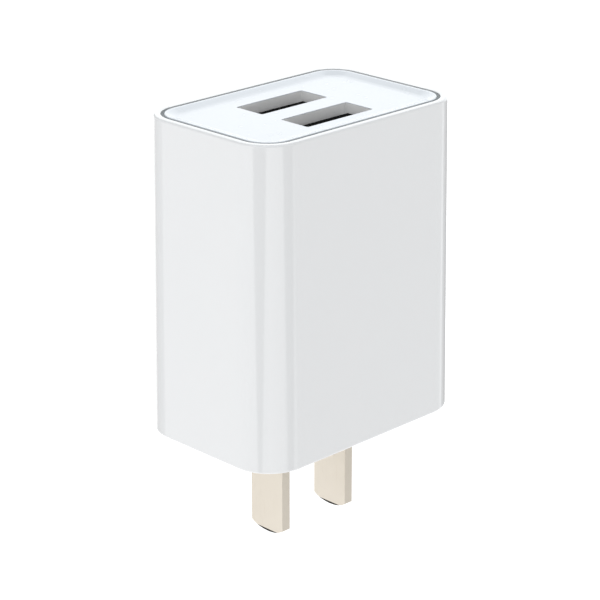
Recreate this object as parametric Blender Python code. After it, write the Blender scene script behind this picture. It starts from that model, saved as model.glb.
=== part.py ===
"""Two-port USB wall charger with fixed flat blades, as separate solids.

Metres, +Z up. The origin is the centre of the outlet face, where the blades leave the
casing. X runs along the long side, Y along the short side, and the sockets open at +Z.
"""

import math

import bmesh
import bpy
from mathutils import Vector

MM = 0.001

# Casing
BODY_LENGTH = 37.5 * MM
BODY_WIDTH = 25.0 * MM
BODY_HEIGHT = 45.6 * MM
CORNER_RADIUS = 5.3 * MM
DRAFT = 0.66 * MM
BASE_EDGE = 0.35 * MM
RIM_EDGE = 0.25 * MM
BASE_THICKNESS = 2.2 * MM
WALL = 1.75 * MM
RIM_WALL = 0.98 * MM
REBATE_DEPTH = 3.2 * MM
RIB_LENGTH = 6.0 * MM
RIB_REACH = 1.8 * MM
RIB_HEIGHT = 4.5 * MM

# Gaps that neighbouring pieces keep
GAP = 0.3 * MM
SOCKET_GAP = 0.25 * MM

# End cap
GROOVE_WIDTH = 0.5 * MM
GROOVE_DEPTH = 0.5 * MM
LIP_WIDTH = 0.38 * MM
DISH_EDGE = 3.2 * MM
DISH_DEPTH = 0.5 * MM
CAP_EDGE = 0.08 * MM
CAP_PLATE = 1.2 * MM
CAP_SKIRT_WALL = 1.2 * MM

# Sockets
SOCKET_CENTRES = {"front": (0.0, -4.73 * MM), "rear": (0.0, 3.92 * MM)}
SOCKET_OPENING = (12.5 * MM, 5.12 * MM)
SHELL_WALL = 0.3 * MM
SHELL_HEIGHT = 14.4 * MM
SHELL_RADIUS = 0.6 * MM
SHELL_BELOW_DISH = 0.1 * MM
TONGUE_SIZE = (11.1 * MM, 1.84 * MM)
TONGUE_BELOW_DISH = 1.2 * MM
TONGUE_TO_REAR_WALL = 1.0 * MM
INSULATOR_BASE_HEIGHT = 3.2 * MM
CONTACT_OFFSETS = (-3.5 * MM, -1.0 * MM, 1.0 * MM, 3.5 * MM)
CONTACT_WIDTH = 1.0 * MM
CONTACT_THICKNESS = 0.25 * MM
CONTACT_GAP = 0.2 * MM
CONTACT_BOW = 0.45 * MM
CONTACT_BELOW_TONGUE = 1.2 * MM

# Blades and what holds them
BLADE_SPACING = 12.7 * MM
BLADE_WIDTH = 6.3 * MM
BLADE_THICKNESS = 1.5 * MM
BLADE_REACH = 16.1 * MM
BLADE_TAIL = 7.6 * MM
BLADE_TIP_RADIUS = 5.7 * MM
BLADE_TIP_CHAMFER = 0.38 * MM
CARRIER_SIZE = (31.0 * MM, 18.0 * MM)
CARRIER_THICKNESS = 2.5 * MM
CARRIER_RADIUS = 2.5 * MM
POST_PLACE = (13.6 * MM, 6.6 * MM)
POST_RADIUS = 1.4 * MM
SPRING_WIDTH = 4.0 * MM
SPRING_THICKNESS = 0.4 * MM
SPRING_FOOT = 4.0 * MM
SPRING_DROP = 2.6 * MM

# Boards
BOARD_SIZE = (32.8 * MM, 20.2 * MM)
BOARD_RADIUS = 3.0 * MM
BOARD_THICKNESS = 1.2 * MM
MAINS_BOARD_Z = 8.6 * MM
SHEET_SIZE = (29.0 * MM, 15.4 * MM)
SHEET_THICKNESS = 0.4 * MM

# Components on the mains board
BULK_CAPACITOR = {"radius": 4.0 * MM, "height": 12.5 * MM}
BULK_CENTRES = ((-12.0 * MM, -4.9 * MM), (-12.0 * MM, 4.9 * MM))
OUTPUT_CAPACITOR = {"radius": 3.15 * MM, "height": 9.0 * MM}
OUTPUT_CENTRES = ((12.7 * MM, 0.1 * MM), (12.7 * MM, 6.8 * MM))
CONTROLLER = {"size": (3.9 * MM, 4.9 * MM, 1.5 * MM), "centre": (-5.8 * MM, -7.2 * MM)}
BRIDGE = {"size": (3.9 * MM, 4.7 * MM, 1.5 * MM), "centre": (-5.8 * MM, 7.3 * MM)}
OPTOCOUPLER = {"size": (4.4 * MM, 4.1 * MM, 2.1 * MM), "centre": (-0.6 * MM, -7.2 * MM)}
DIODE = {"size": (5.3 * MM, 3.0 * MM, 2.3 * MM), "centre": (12.7 * MM, -5.3 * MM)}
FUSE = {"radius": 1.5 * MM, "height": 8.5 * MM, "centre": (-5.8 * MM, -2.6 * MM)}
CHOKE = {"radius": 2.1 * MM, "height": 6.5 * MM, "centre": (-5.8 * MM, 2.3 * MM)}
CHOKE_WAIST = 1.7 * MM
Y_CAPACITOR_RADIUS = 3.7 * MM
Y_CAPACITOR_THICKNESS = 2.6 * MM
Y_CAPACITOR_CENTRE = (5.2 * MM, -8.2 * MM)
Y_CAPACITOR_LEAD_SPACING = 5.0 * MM
Y_CAPACITOR_LIFT = 3.0 * MM
LEAD_RADIUS = 0.3 * MM

# Transformer
TRANSFORMER_CENTRE = (3.0 * MM, 2.2 * MM)
CORE_LENGTH = 11.6 * MM
CORE_DEPTH = 5.0 * MM
CORE_HEIGHT = 12.0 * MM
CORE_YOKE = 1.8 * MM
CORE_SIDE_LEG = 1.4 * MM
CORE_MIDDLE_LEG = 3.0 * MM
BOBBIN_WALL = 0.6 * MM
BOBBIN_FLANGE = 0.7 * MM
WINDING_BUILD = 1.2 * MM
TAPE_THICKNESS = 0.3 * MM
TAPE_WIDTH = 3.4 * MM

# Parts between the boards and on the socket board
PIN_SIDE = 0.64 * MM
PIN_COUNT = 4
PIN_PITCH = 2.0 * MM
PIN_ROW_CENTRE = (12.7 * MM, -8.6 * MM)
SOCKET_CHIP = {"size": (4.9 * MM, 3.9 * MM, 1.5 * MM), "centre": (-11.5 * MM, 0.0)}

# Facets
CORNER_STEPS = 8
SMALL_CORNER_STEPS = 3
ROUND_STEPS = 24
EDGE_STEPS = 3

# Levels worked out from the dimensions above
DISH_Z = BODY_HEIGHT - DISH_DEPTH
SHELL_TOP_Z = DISH_Z - SHELL_BELOW_DISH
SHELL_BASE_Z = SHELL_TOP_Z - SHELL_HEIGHT
SOCKET_BOARD_Z = SHELL_BASE_Z - GAP - BOARD_THICKNESS
MAINS_TOP_Z = MAINS_BOARD_Z + BOARD_THICKNESS
PART_FLOOR_Z = MAINS_TOP_Z + GAP


# ---------------------------------------------------------------- shared helpers


def finish(name, colour, roughness, metallic=0.0):
    """Return a Principled material."""
    material = bpy.data.materials.new(name)
    material.use_nodes = True
    shader = material.node_tree.nodes["Principled BSDF"]
    shader.inputs["Base Color"].default_value = (*colour, 1.0)
    shader.inputs["Roughness"].default_value = roughness
    shader.inputs["Metallic"].default_value = metallic
    material.diffuse_color = (*colour, 1.0)
    return material


def make_object(name, bm, material):
    """Turn a bmesh into a named object in the scene."""
    bmesh.ops.recalc_face_normals(bm, faces=bm.faces)
    mesh = bpy.data.meshes.new(name)
    bm.to_mesh(mesh)
    bm.free()
    mesh.shade_smooth()
    mesh.set_sharp_from_angle(angle=math.radians(35))
    mesh.materials.append(material)
    item = bpy.data.objects.new(name, mesh)
    bpy.context.scene.collection.objects.link(item)
    return item


def rounded_outline(length, width, radius, centre=(0.0, 0.0), steps=CORNER_STEPS):
    """Points of a rectangle with round corners, anticlockwise seen from +Z."""
    points = []
    for quarter, (side_x, side_y) in enumerate(((1, 1), (-1, 1), (-1, -1), (1, -1))):
        corner_x = centre[0] + side_x * (length / 2 - radius)
        corner_y = centre[1] + side_y * (width / 2 - radius)
        for step in range(steps + 1):
            angle = math.pi / 2 * (quarter + step / steps)
            points.append((corner_x + radius * math.cos(angle), corner_y + radius * math.sin(angle)))
    return points


def circle_outline(radius, centre=(0.0, 0.0)):
    """Points of a circle, anticlockwise seen from +Z."""
    angles = [2 * math.pi * step / ROUND_STEPS for step in range(ROUND_STEPS)]
    return [(centre[0] + radius * math.cos(a), centre[1] + radius * math.sin(a)) for a in angles]


def loft(name, sections, material, ring=False):
    """Join outlines at their heights into one closed body.

    A ring joins the last outline to the first, and anything else gets two flat ends.
    """
    bm = bmesh.new()
    loops = [[bm.verts.new((x, y, z)) for x, y in outline] for outline, z in sections]
    pairs = list(zip(loops, loops[1:]))
    if ring:
        pairs.append((loops[-1], loops[0]))
    else:
        bm.faces.new(loops[0])
        bm.faces.new(loops[-1])
    for lower, upper in pairs:
        for i in range(len(lower)):
            j = (i + 1) % len(lower)
            bm.faces.new((lower[i], lower[j], upper[j], upper[i]))
    return make_object(name, bm, material)


def extrude_outline(name, points, thickness, material):
    """Extrude an outline, given as 3-D points in one plane, along a vector."""
    bm = bmesh.new()
    face = bm.faces.new([bm.verts.new(point) for point in points])
    moved = bmesh.ops.extrude_face_region(bm, geom=[face])["geom"]
    verts = [item for item in moved if isinstance(item, bmesh.types.BMVert)]
    bmesh.ops.translate(bm, verts=verts, vec=thickness)
    return make_object(name, bm, material)


def block(name, size, centre, floor_z, material, edge=0.0):
    """Rectangular block standing on floor_z, with its edges bevelled when edge is set."""
    bm = bmesh.new()
    bmesh.ops.create_cube(bm, size=1.0)
    bmesh.ops.scale(bm, vec=size, verts=bm.verts)
    bmesh.ops.translate(bm, vec=(*centre, floor_z + size[2] / 2), verts=bm.verts)
    if edge:
        bmesh.ops.bevel(bm, geom=bm.edges, offset=edge, segments=1, affect="EDGES")
    return make_object(name, bm, material)


def apply_boolean(target, tool, operation):
    """Cut or join a helper object, which is then only a wire guide."""
    modifier = target.modifiers.new(f"{operation.lower()}_{tool.name}", "BOOLEAN")
    modifier.operation = operation
    modifier.object = tool
    tool.hide_render = True
    tool.display_type = "WIRE"


# ---------------------------------------------------------------- casing and end cap


def body_outline(inset, flare=0.0):
    """Outline of the body at its top, moved inwards by inset and outwards by flare."""
    change = 2 * (flare - inset)
    return rounded_outline(BODY_LENGTH + change, BODY_WIDTH + change, CORNER_RADIUS + change / 2)


def quarter_steps():
    """Sine and cosine pairs from 0 to 90 degrees, for a rounded edge."""
    angles = [math.pi / 2 * step / EDGE_STEPS for step in range(EDGE_STEPS + 1)]
    return [(math.sin(angle), math.cos(angle)) for angle in angles]


def build_casing(plastic):
    """Drafted cup: closed at the outlet face and rebated at the top for the end cap."""
    sections = []
    for rise, run in quarter_steps():
        sections.append((body_outline(BASE_EDGE * (1 - rise), DRAFT), BASE_EDGE * (1 - run)))
    for rise, run in quarter_steps():
        sections.append((body_outline(RIM_EDGE * (1 - run)), BODY_HEIGHT - RIM_EDGE * (1 - rise)))
    sections.append((body_outline(RIM_WALL), BODY_HEIGHT))
    sections.append((body_outline(RIM_WALL), BODY_HEIGHT - REBATE_DEPTH))
    sections.append((body_outline(WALL), BODY_HEIGHT - REBATE_DEPTH))
    sections.append((body_outline(WALL), BASE_THICKNESS))
    casing = loft("casing", sections, plastic)
    for side in (-1, 1):
        slot_size = (BLADE_THICKNESS + 2 * GAP, BLADE_WIDTH + 2 * GAP, 3 * BASE_THICKNESS)
        place = (side * BLADE_SPACING / 2, 0.0)
        slot = block(f"casing_slot_{side}", slot_size, place, -BASE_THICKNESS, plastic)
        apply_boolean(casing, slot, "DIFFERENCE")
        overlap = WALL / 2
        rib_size = (RIB_REACH + overlap, RIB_LENGTH, RIB_HEIGHT)
        rib_x = side * (BODY_LENGTH / 2 - WALL - RIB_REACH / 2 + overlap / 2)
        rib_z = SOCKET_BOARD_Z - GAP - RIB_HEIGHT
        rib = block(f"casing_rib_{side}", rib_size, (rib_x, 0.0), rib_z, plastic)
        apply_boolean(casing, rib, "UNION")


def build_end_cap(plastic):
    """Dished plate with a skirt, one window for each socket and a groove round its edge."""
    groove_inset = RIM_WALL + GROOVE_WIDTH
    skirt_inset = RIM_WALL + GAP
    skirt_base_z = BODY_HEIGHT - REBATE_DEPTH + GAP
    plate_base_z = DISH_Z - CAP_PLATE
    lip_inset = groove_inset + LIP_WIDTH
    sections = [
        (body_outline(skirt_inset + CAP_SKIRT_WALL), plate_base_z),
        (body_outline(skirt_inset + CAP_SKIRT_WALL), skirt_base_z),
        (body_outline(skirt_inset), skirt_base_z),
        (body_outline(skirt_inset), BODY_HEIGHT - GROOVE_DEPTH),
        (body_outline(groove_inset), BODY_HEIGHT - GROOVE_DEPTH),
        (body_outline(groove_inset), BODY_HEIGHT - CAP_EDGE),
        (body_outline(groove_inset + CAP_EDGE), BODY_HEIGHT),
        (body_outline(lip_inset), BODY_HEIGHT),
        (body_outline(DISH_EDGE), DISH_Z),
    ]
    cap = loft("end_cap", sections, plastic)
    length, width = [side + 2 * (SHELL_WALL + SOCKET_GAP) for side in SOCKET_OPENING]
    radius = SHELL_RADIUS + SOCKET_GAP
    for side, centre in SOCKET_CENTRES.items():
        outline = rounded_outline(length, width, radius, centre, SMALL_CORNER_STEPS)
        levels = [(outline, plate_base_z - CAP_PLATE), (outline, BODY_HEIGHT + CAP_PLATE)]
        window = loft(f"window_{side}", levels, plastic)
        apply_boolean(cap, window, "DIFFERENCE")


# ---------------------------------------------------------------- blades


def blade_outline(x):
    """Blade seen from the side: straight tail and a tip that is one shallow arc."""
    half = BLADE_WIDTH / 2
    reach = math.asin(half / BLADE_TIP_RADIUS)
    arc_z = -BLADE_REACH + BLADE_TIP_RADIUS
    points = [(x, half, BLADE_TAIL)]
    points.append((x, -half, BLADE_TAIL))
    for step in range(ROUND_STEPS // 2 + 1):
        angle = -reach + 2 * reach * step / (ROUND_STEPS // 2)
        y = BLADE_TIP_RADIUS * math.sin(angle)
        points.append((x, y, arc_z - BLADE_TIP_RADIUS * math.cos(angle)))
    return points


def build_blade(name, centre_x, metal):
    """Flat blade whose tip is ground to a lead-in on both broad faces."""
    bm = bmesh.new()
    x = centre_x - BLADE_THICKNESS / 2
    face = bm.faces.new([bm.verts.new(point) for point in blade_outline(x)])
    moved = bmesh.ops.extrude_face_region(bm, geom=[face])["geom"]
    verts = [item for item in moved if isinstance(item, bmesh.types.BMVert)]
    bmesh.ops.translate(bm, verts=verts, vec=(BLADE_THICKNESS, 0, 0))
    for side in (-1, 1):
        place = (centre_x + side * BLADE_THICKNESS / 2, 0, BLADE_TIP_CHAMFER - BLADE_REACH)
        everything = bm.verts[:] + bm.edges[:] + bm.faces[:]
        cut = bmesh.ops.bisect_plane(
            bm, geom=everything, plane_co=place, plane_no=(side, 0, -1), clear_outer=True
        )["geom_cut"]
        edges = [item for item in cut if isinstance(item, bmesh.types.BMEdge)]
        bmesh.ops.edgeloop_fill(bm, edges=edges)
    make_object(name, bm, metal)


def build_carrier(plastic):
    """Insulating plate that both blades pass through, with posts under the mains board."""
    outline = rounded_outline(*CARRIER_SIZE, CARRIER_RADIUS)
    floor_z = BASE_THICKNESS + GAP
    top_z = floor_z + CARRIER_THICKNESS
    carrier = loft("blade_carrier", [(outline, floor_z), (outline, top_z)], plastic)
    for side in (-1, 1):
        slot_size = (BLADE_THICKNESS + 2 * GAP, BLADE_WIDTH + 2 * GAP, 3 * CARRIER_THICKNESS)
        place = (side * BLADE_SPACING / 2, 0.0)
        slot = block(f"carrier_slot_{side}", slot_size, place, 0.0, plastic)
        apply_boolean(carrier, slot, "DIFFERENCE")
    for x in (-POST_PLACE[0], POST_PLACE[0]):
        for y in (-POST_PLACE[1], POST_PLACE[1]):
            circle = circle_outline(POST_RADIUS, (x, y))
            levels = [(circle, top_z - CARRIER_THICKNESS / 2), (circle, MAINS_BOARD_Z - GAP)]
            post = loft(f"post_{x:.3f}_{y:.3f}", levels, plastic)
            apply_boolean(carrier, post, "UNION")


def build_blade_spring(name, side, metal):
    """Bent strip: a foot under the mains board and a leaf along the blade's inner face."""
    blade_face = side * (BLADE_SPACING - BLADE_THICKNESS) / 2
    outer = blade_face - side * GAP
    inner = outer - side * SPRING_THICKNESS
    foot_end = outer - side * SPRING_FOOT
    top = MAINS_BOARD_Z - GAP
    low = top - SPRING_DROP
    y = -SPRING_WIDTH / 2
    corners = (
        (outer, top),
        (outer, low),
        (inner, low),
        (inner, top - SPRING_THICKNESS),
        (foot_end, top - SPRING_THICKNESS),
        (foot_end, top),
    )
    points = [(x, y, z) for x, z in corners]
    extrude_outline(name, points, (0, SPRING_WIDTH, 0), metal)


# ---------------------------------------------------------------- mains board and its parts


def build_board(name, floor_z, laminate):
    """Glass-fibre board that fills the casing's plan."""
    outline = rounded_outline(*BOARD_SIZE, BOARD_RADIUS)
    loft(name, [(outline, floor_z), (outline, floor_z + BOARD_THICKNESS)], laminate)


def build_can(name, centre, radius, height, sleeve):
    """Upright electrolytic capacitor: rolled-in foot, crimp groove and rounded top."""
    roll = radius * 0.12
    profile = (
        (radius - roll, 0.0),
        (radius, roll),
        (radius, height * 0.12),
        (radius - roll, height * 0.16),
        (radius, height * 0.20),
        (radius, height - roll),
        (radius - roll, height),
    )
    levels = [(circle_outline(r, centre), PART_FLOOR_Z + z) for r, z in profile]
    loft(name, levels, sleeve)


def build_chip(name, part, floor_z, resin):
    """Moulded chip body."""
    block(name, part["size"], part["centre"], floor_z, resin, edge=0.15 * MM)


def build_fuse_resistor(coating):
    """Upright fusible resistor with a bulb at each end."""
    radius = FUSE["radius"]
    height = FUSE["height"]
    waist = radius * 0.82
    profile = (
        (radius * 0.7, 0.0),
        (radius, height * 0.1),
        (radius, height * 0.25),
        (waist, height * 0.33),
        (waist, height * 0.67),
        (radius, height * 0.75),
        (radius, height * 0.9),
        (radius * 0.7, height),
    )
    levels = [(circle_outline(r, FUSE["centre"]), PART_FLOOR_Z + z) for r, z in profile]
    loft("fuse_resistor", levels, coating)


def build_input_choke(ferrite):
    """Drum choke: two flanges with the coil between them."""
    height = CHOKE["height"]
    profile = (
        (CHOKE["radius"], 0.0),
        (CHOKE["radius"], height * 0.15),
        (CHOKE_WAIST, height * 0.15),
        (CHOKE_WAIST, height * 0.85),
        (CHOKE["radius"], height * 0.85),
        (CHOKE["radius"], height),
    )
    levels = [(circle_outline(r, CHOKE["centre"]), PART_FLOOR_Z + z) for r, z in profile]
    loft("input_choke", levels, ferrite)


def build_y_capacitor(coating):
    """Disc capacitor standing on its two leads."""
    x, y = Y_CAPACITOR_CENTRE
    middle_z = PART_FLOOR_Z + Y_CAPACITOR_LIFT + Y_CAPACITOR_RADIUS
    points = []
    for step in range(ROUND_STEPS):
        angle = 2 * math.pi * step / ROUND_STEPS
        across = Y_CAPACITOR_RADIUS * math.cos(angle)
        up = Y_CAPACITOR_RADIUS * math.sin(angle)
        points.append((x + across, y - Y_CAPACITOR_THICKNESS / 2, middle_z + up))
    disc = extrude_outline("y_capacitor", points, (0, Y_CAPACITOR_THICKNESS, 0), coating)
    for side in (-1, 1):
        circle = circle_outline(LEAD_RADIUS, (x + side * Y_CAPACITOR_LEAD_SPACING / 2, y))
        lead = loft(f"y_lead_{side}", [(circle, PART_FLOOR_Z), (circle, middle_z)], coating)
        apply_boolean(disc, lead, "UNION")


# ---------------------------------------------------------------- transformer


def build_core_half(name, upward, ferrite):
    """E-shaped ferrite half: a yoke with two side legs and a middle leg."""
    x, y = TRANSFORMER_CENTRE
    yoke_z = PART_FLOOR_Z + TAPE_THICKNESS + GAP
    top_z = yoke_z + CORE_HEIGHT
    middle_z = (yoke_z + top_z) / 2
    direction = 1 if upward else -1
    back = yoke_z if upward else top_z
    front = middle_z - direction * GAP / 2
    inner = back + direction * CORE_YOKE
    half = CORE_LENGTH / 2
    side_leg = half - CORE_SIDE_LEG
    middle = CORE_MIDDLE_LEG / 2
    corners = (
        (-half, back),
        (-half, front),
        (-side_leg, front),
        (-side_leg, inner),
        (-middle, inner),
        (-middle, front),
        (middle, front),
        (middle, inner),
        (side_leg, inner),
        (side_leg, front),
        (half, front),
        (half, back),
    )
    points = [(x + across, y - CORE_DEPTH / 2, z) for across, z in corners]
    extrude_outline(name, points, (0, CORE_DEPTH, 0), ferrite)


def build_transformer(finishes):
    """Core halves, the bobbin round their middle leg, its winding and the core's tape."""
    build_core_half("transformer_core_lower", True, finishes["ferrite"])
    build_core_half("transformer_core_upper", False, finishes["ferrite"])
    centre = TRANSFORMER_CENTRE
    core_z = PART_FLOOR_Z + TAPE_THICKNESS + GAP
    low_z = core_z + CORE_YOKE + GAP
    high_z = core_z + CORE_HEIGHT - CORE_YOKE - GAP

    def outline(grow):
        """Outline round the middle leg, grow outside it."""
        length = CORE_MIDDLE_LEG + 2 * grow
        width = CORE_DEPTH + 2 * grow
        return rounded_outline(length, width, 0.3 * MM + grow / 2, centre, SMALL_CORNER_STEPS)

    bore = outline(GAP)
    hub = outline(GAP + BOBBIN_WALL)
    flange = outline(GAP + BOBBIN_WALL + GAP + WINDING_BUILD)
    spool = [
        (bore, low_z),
        (flange, low_z),
        (flange, low_z + BOBBIN_FLANGE),
        (hub, low_z + BOBBIN_FLANGE),
        (hub, high_z - BOBBIN_FLANGE),
        (flange, high_z - BOBBIN_FLANGE),
        (flange, high_z),
        (bore, high_z),
    ]
    loft("transformer_bobbin", spool, finishes["bobbin"], ring=True)

    inner = outline(GAP + BOBBIN_WALL + GAP)
    outer = outline(GAP + BOBBIN_WALL + GAP + WINDING_BUILD)
    wound_low = low_z + BOBBIN_FLANGE + GAP
    wound_high = high_z - BOBBIN_FLANGE - GAP
    coil = [(inner, wound_low), (outer, wound_low), (outer, wound_high), (inner, wound_high)]
    loft("transformer_winding", coil, finishes["winding"], ring=True)
    build_core_tape(finishes["tape"])


def build_core_tape(tape):
    """Band round both core halves, in the plane of their legs."""
    x, y = TRANSFORMER_CENTRE
    bm = bmesh.new()
    middle_z = PART_FLOOR_Z + TAPE_THICKNESS + GAP + CORE_HEIGHT / 2
    loops = []
    for depth in (-TAPE_WIDTH / 2, TAPE_WIDTH / 2):
        for grow in (GAP, GAP + TAPE_THICKNESS):
            half_x = CORE_LENGTH / 2 + grow
            half_z = CORE_HEIGHT / 2 + grow
            corners = ((-1, -1), (1, -1), (1, 1), (-1, 1))
            places = [(x + sx * half_x, y + depth, middle_z + sz * half_z) for sx, sz in corners]
            loops.append([bm.verts.new(place) for place in places])
    inner_front, outer_front, inner_back, outer_back = loops
    pairs = (
        (inner_front, outer_front),
        (outer_front, outer_back),
        (outer_back, inner_back),
        (inner_back, inner_front),
    )
    for first, second in pairs:
        for i in range(4):
            j = (i + 1) % 4
            bm.faces.new((first[i], first[j], second[j], second[i]))
    make_object("transformer_tape", bm, tape)


# ---------------------------------------------------------------- sockets and their board


def build_riser_pins(metal):
    """Square pins that carry the output from the mains board to the socket board."""
    height = SOCKET_BOARD_Z - GAP - PART_FLOOR_Z
    for number in range(PIN_COUNT):
        x = PIN_ROW_CENTRE[0] + (number - (PIN_COUNT - 1) / 2) * PIN_PITCH
        size = (PIN_SIDE, PIN_SIDE, height)
        centre = (x, PIN_ROW_CENTRE[1])
        block(f"riser_pin_{number + 1}", size, centre, PART_FLOOR_Z, metal, edge=0.08 * MM)


def build_insulation_sheet(card):
    """Card between the mains parts and the socket board."""
    outline = rounded_outline(*SHEET_SIZE, CORNER_RADIUS / 2)
    top_z = SOCKET_BOARD_Z - GAP
    loft("insulation_sheet", [(outline, top_z - SHEET_THICKNESS), (outline, top_z)], card)


def build_socket(side, centre, finishes):
    """One socket: drawn shell, moulded tongue and four spring contacts."""
    length, width = SOCKET_OPENING
    mouth = rounded_outline(
        length, width, SHELL_RADIUS - SHELL_WALL, centre, SMALL_CORNER_STEPS
    )
    skin = rounded_outline(
        length + 2 * SHELL_WALL, width + 2 * SHELL_WALL, SHELL_RADIUS, centre, SMALL_CORNER_STEPS
    )
    tube = [(mouth, SHELL_BASE_Z), (skin, SHELL_BASE_Z), (skin, SHELL_TOP_Z), (mouth, SHELL_TOP_Z)]
    loft(f"usb_shell_{side}", tube, finishes["shell"], ring=True)

    rear_y = centre[1] + width / 2
    tongue_rear = rear_y - TONGUE_TO_REAR_WALL
    tongue_front = tongue_rear - TONGUE_SIZE[1]
    tongue_middle = (tongue_rear + tongue_front) / 2
    base_rear = rear_y - GAP
    base_size = (length - 2 * GAP, base_rear - tongue_front)
    radius = 0.25 * MM
    base = rounded_outline(
        *base_size, radius, (centre[0], (base_rear + tongue_front) / 2), SMALL_CORNER_STEPS
    )
    tongue = rounded_outline(*TONGUE_SIZE, radius, (centre[0], tongue_middle), SMALL_CORNER_STEPS)
    base_top = SHELL_BASE_Z + INSULATOR_BASE_HEIGHT
    tongue_top = DISH_Z - TONGUE_BELOW_DISH
    levels = [(base, SHELL_BASE_Z), (base, base_top), (tongue, base_top), (tongue, tongue_top)]
    loft(f"usb_tongue_{side}", levels, finishes["tongue"])

    for number, offset in enumerate(CONTACT_OFFSETS):
        name = f"usb_contact_{side}_{number + 1}"
        build_contact(name, centre[0] + offset, tongue_front, tongue_top, finishes["contact"])


def build_contact(name, x, tongue_front, tongue_top, metal):
    """Thin strip along the tongue's front face, bowed forwards near its free end."""
    low = SHELL_BASE_Z
    high = tongue_top - CONTACT_BELOW_TONGUE
    rear = tongue_front - CONTACT_GAP
    straight = low + (high - low) * 0.45
    steps = 8
    line = [(rear, low)]
    for step in range(steps + 1):
        part = step / steps
        bow = CONTACT_BOW * math.sin(math.pi * part) ** 2
        line.append((rear - bow, straight + (high - straight) * part))
    front_line = [(y - CONTACT_THICKNESS, z) for y, z in reversed(line)]
    points = [(x - CONTACT_WIDTH / 2, y, z) for y, z in line + front_line]
    extrude_outline(name, points, (CONTACT_WIDTH, 0, 0), metal)


# ---------------------------------------------------------------- build order


def make_finishes():
    """Every material of the charger."""
    return {
        "casing": finish("casing_plastic", (0.86, 0.87, 0.88), 0.22),
        "cap": finish("cap_plastic", (0.87, 0.88, 0.90), 0.28),
        "blade": finish("plated_brass", (0.83, 0.78, 0.70), 0.24, 1.0),
        "spring": finish("spring_bronze", (0.72, 0.48, 0.26), 0.35, 1.0),
        "carrier": finish("carrier_plastic", (0.80, 0.80, 0.78), 0.55),
        "laminate": finish("board_laminate", (0.05, 0.22, 0.10), 0.45),
        "resin": finish("chip_resin", (0.03, 0.03, 0.03), 0.5),
        "sleeve": finish("capacitor_sleeve", (0.02, 0.02, 0.03), 0.35),
        "output_can": finish("bare_aluminium", (0.75, 0.75, 0.76), 0.3, 1.0),
        "fuse": finish("fuse_coating", (0.35, 0.62, 0.50), 0.5),
        "ferrite": finish("ferrite", (0.09, 0.09, 0.09), 0.6),
        "disc": finish("disc_coating", (0.05, 0.20, 0.55), 0.4),
        "bobbin": finish("bobbin_plastic", (0.06, 0.06, 0.06), 0.5),
        "winding": finish("enamelled_copper", (0.55, 0.25, 0.10), 0.35, 1.0),
        "tape": finish("polyester_tape", (0.85, 0.62, 0.05), 0.35),
        "pin": finish("tinned_pin", (0.75, 0.74, 0.70), 0.3, 1.0),
        "card": finish("insulating_card", (0.80, 0.76, 0.62), 0.7),
        "shell": finish("shell_steel", (0.62, 0.62, 0.63), 0.3, 1.0),
        "tongue": finish("tongue_plastic", (0.02, 0.02, 0.02), 0.6),
        "contact": finish("gilt_contact", (0.85, 0.62, 0.28), 0.25, 1.0),
    }


def build_mains_parts(finishes):
    """Components that stand on the mains board."""
    build_fuse_resistor(finishes["fuse"])
    build_input_choke(finishes["ferrite"])
    build_chip("bridge_rectifier", BRIDGE, PART_FLOOR_Z, finishes["resin"])
    build_chip("controller_chip", CONTROLLER, PART_FLOOR_Z, finishes["resin"])
    build_chip("optocoupler", OPTOCOUPLER, PART_FLOOR_Z, finishes["resin"])
    build_chip("rectifier_diode", DIODE, PART_FLOOR_Z, finishes["resin"])
    build_y_capacitor(finishes["disc"])
    build_transformer(finishes)
    for number, centre in enumerate(BULK_CENTRES):
        build_can(f"bulk_capacitor_{number + 1}", centre, **BULK_CAPACITOR, sleeve=finishes["sleeve"])
    for number, centre in enumerate(OUTPUT_CENTRES):
        name = f"output_capacitor_{number + 1}"
        build_can(name, centre, **OUTPUT_CAPACITOR, sleeve=finishes["output_can"])


def main():
    """Clear the scene and build the charger from the outlet face up."""
    for item in list(bpy.data.objects):
        bpy.data.objects.remove(item)
    finishes = make_finishes()
    build_casing(finishes["casing"])
    build_end_cap(finishes["cap"])
    for name, side in (("left", -1), ("right", 1)):
        build_blade(f"blade_{name}", side * BLADE_SPACING / 2, finishes["blade"])
        build_blade_spring(f"blade_spring_{name}", side, finishes["spring"])
    build_carrier(finishes["carrier"])
    build_board("mains_board", MAINS_BOARD_Z, finishes["laminate"])
    build_mains_parts(finishes)
    build_riser_pins(finishes["pin"])
    build_insulation_sheet(finishes["card"])
    build_board("socket_board", SOCKET_BOARD_Z, finishes["laminate"])
    chip_floor = SOCKET_BOARD_Z + BOARD_THICKNESS + GAP
    build_chip("socket_chip", SOCKET_CHIP, chip_floor, finishes["resin"])
    for side, centre in SOCKET_CENTRES.items():
        build_socket(side, centre, finishes)


main()
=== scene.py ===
"""Looks of the two-socket wall charger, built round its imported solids.

The shown pieces stand where their solids are. Lengths are in metres, +Z points from the
outlet face to the sockets, and X runs from blade to blade.
"""

import logging
import math
from dataclasses import dataclass
from enum import Enum
from typing import Callable

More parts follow.
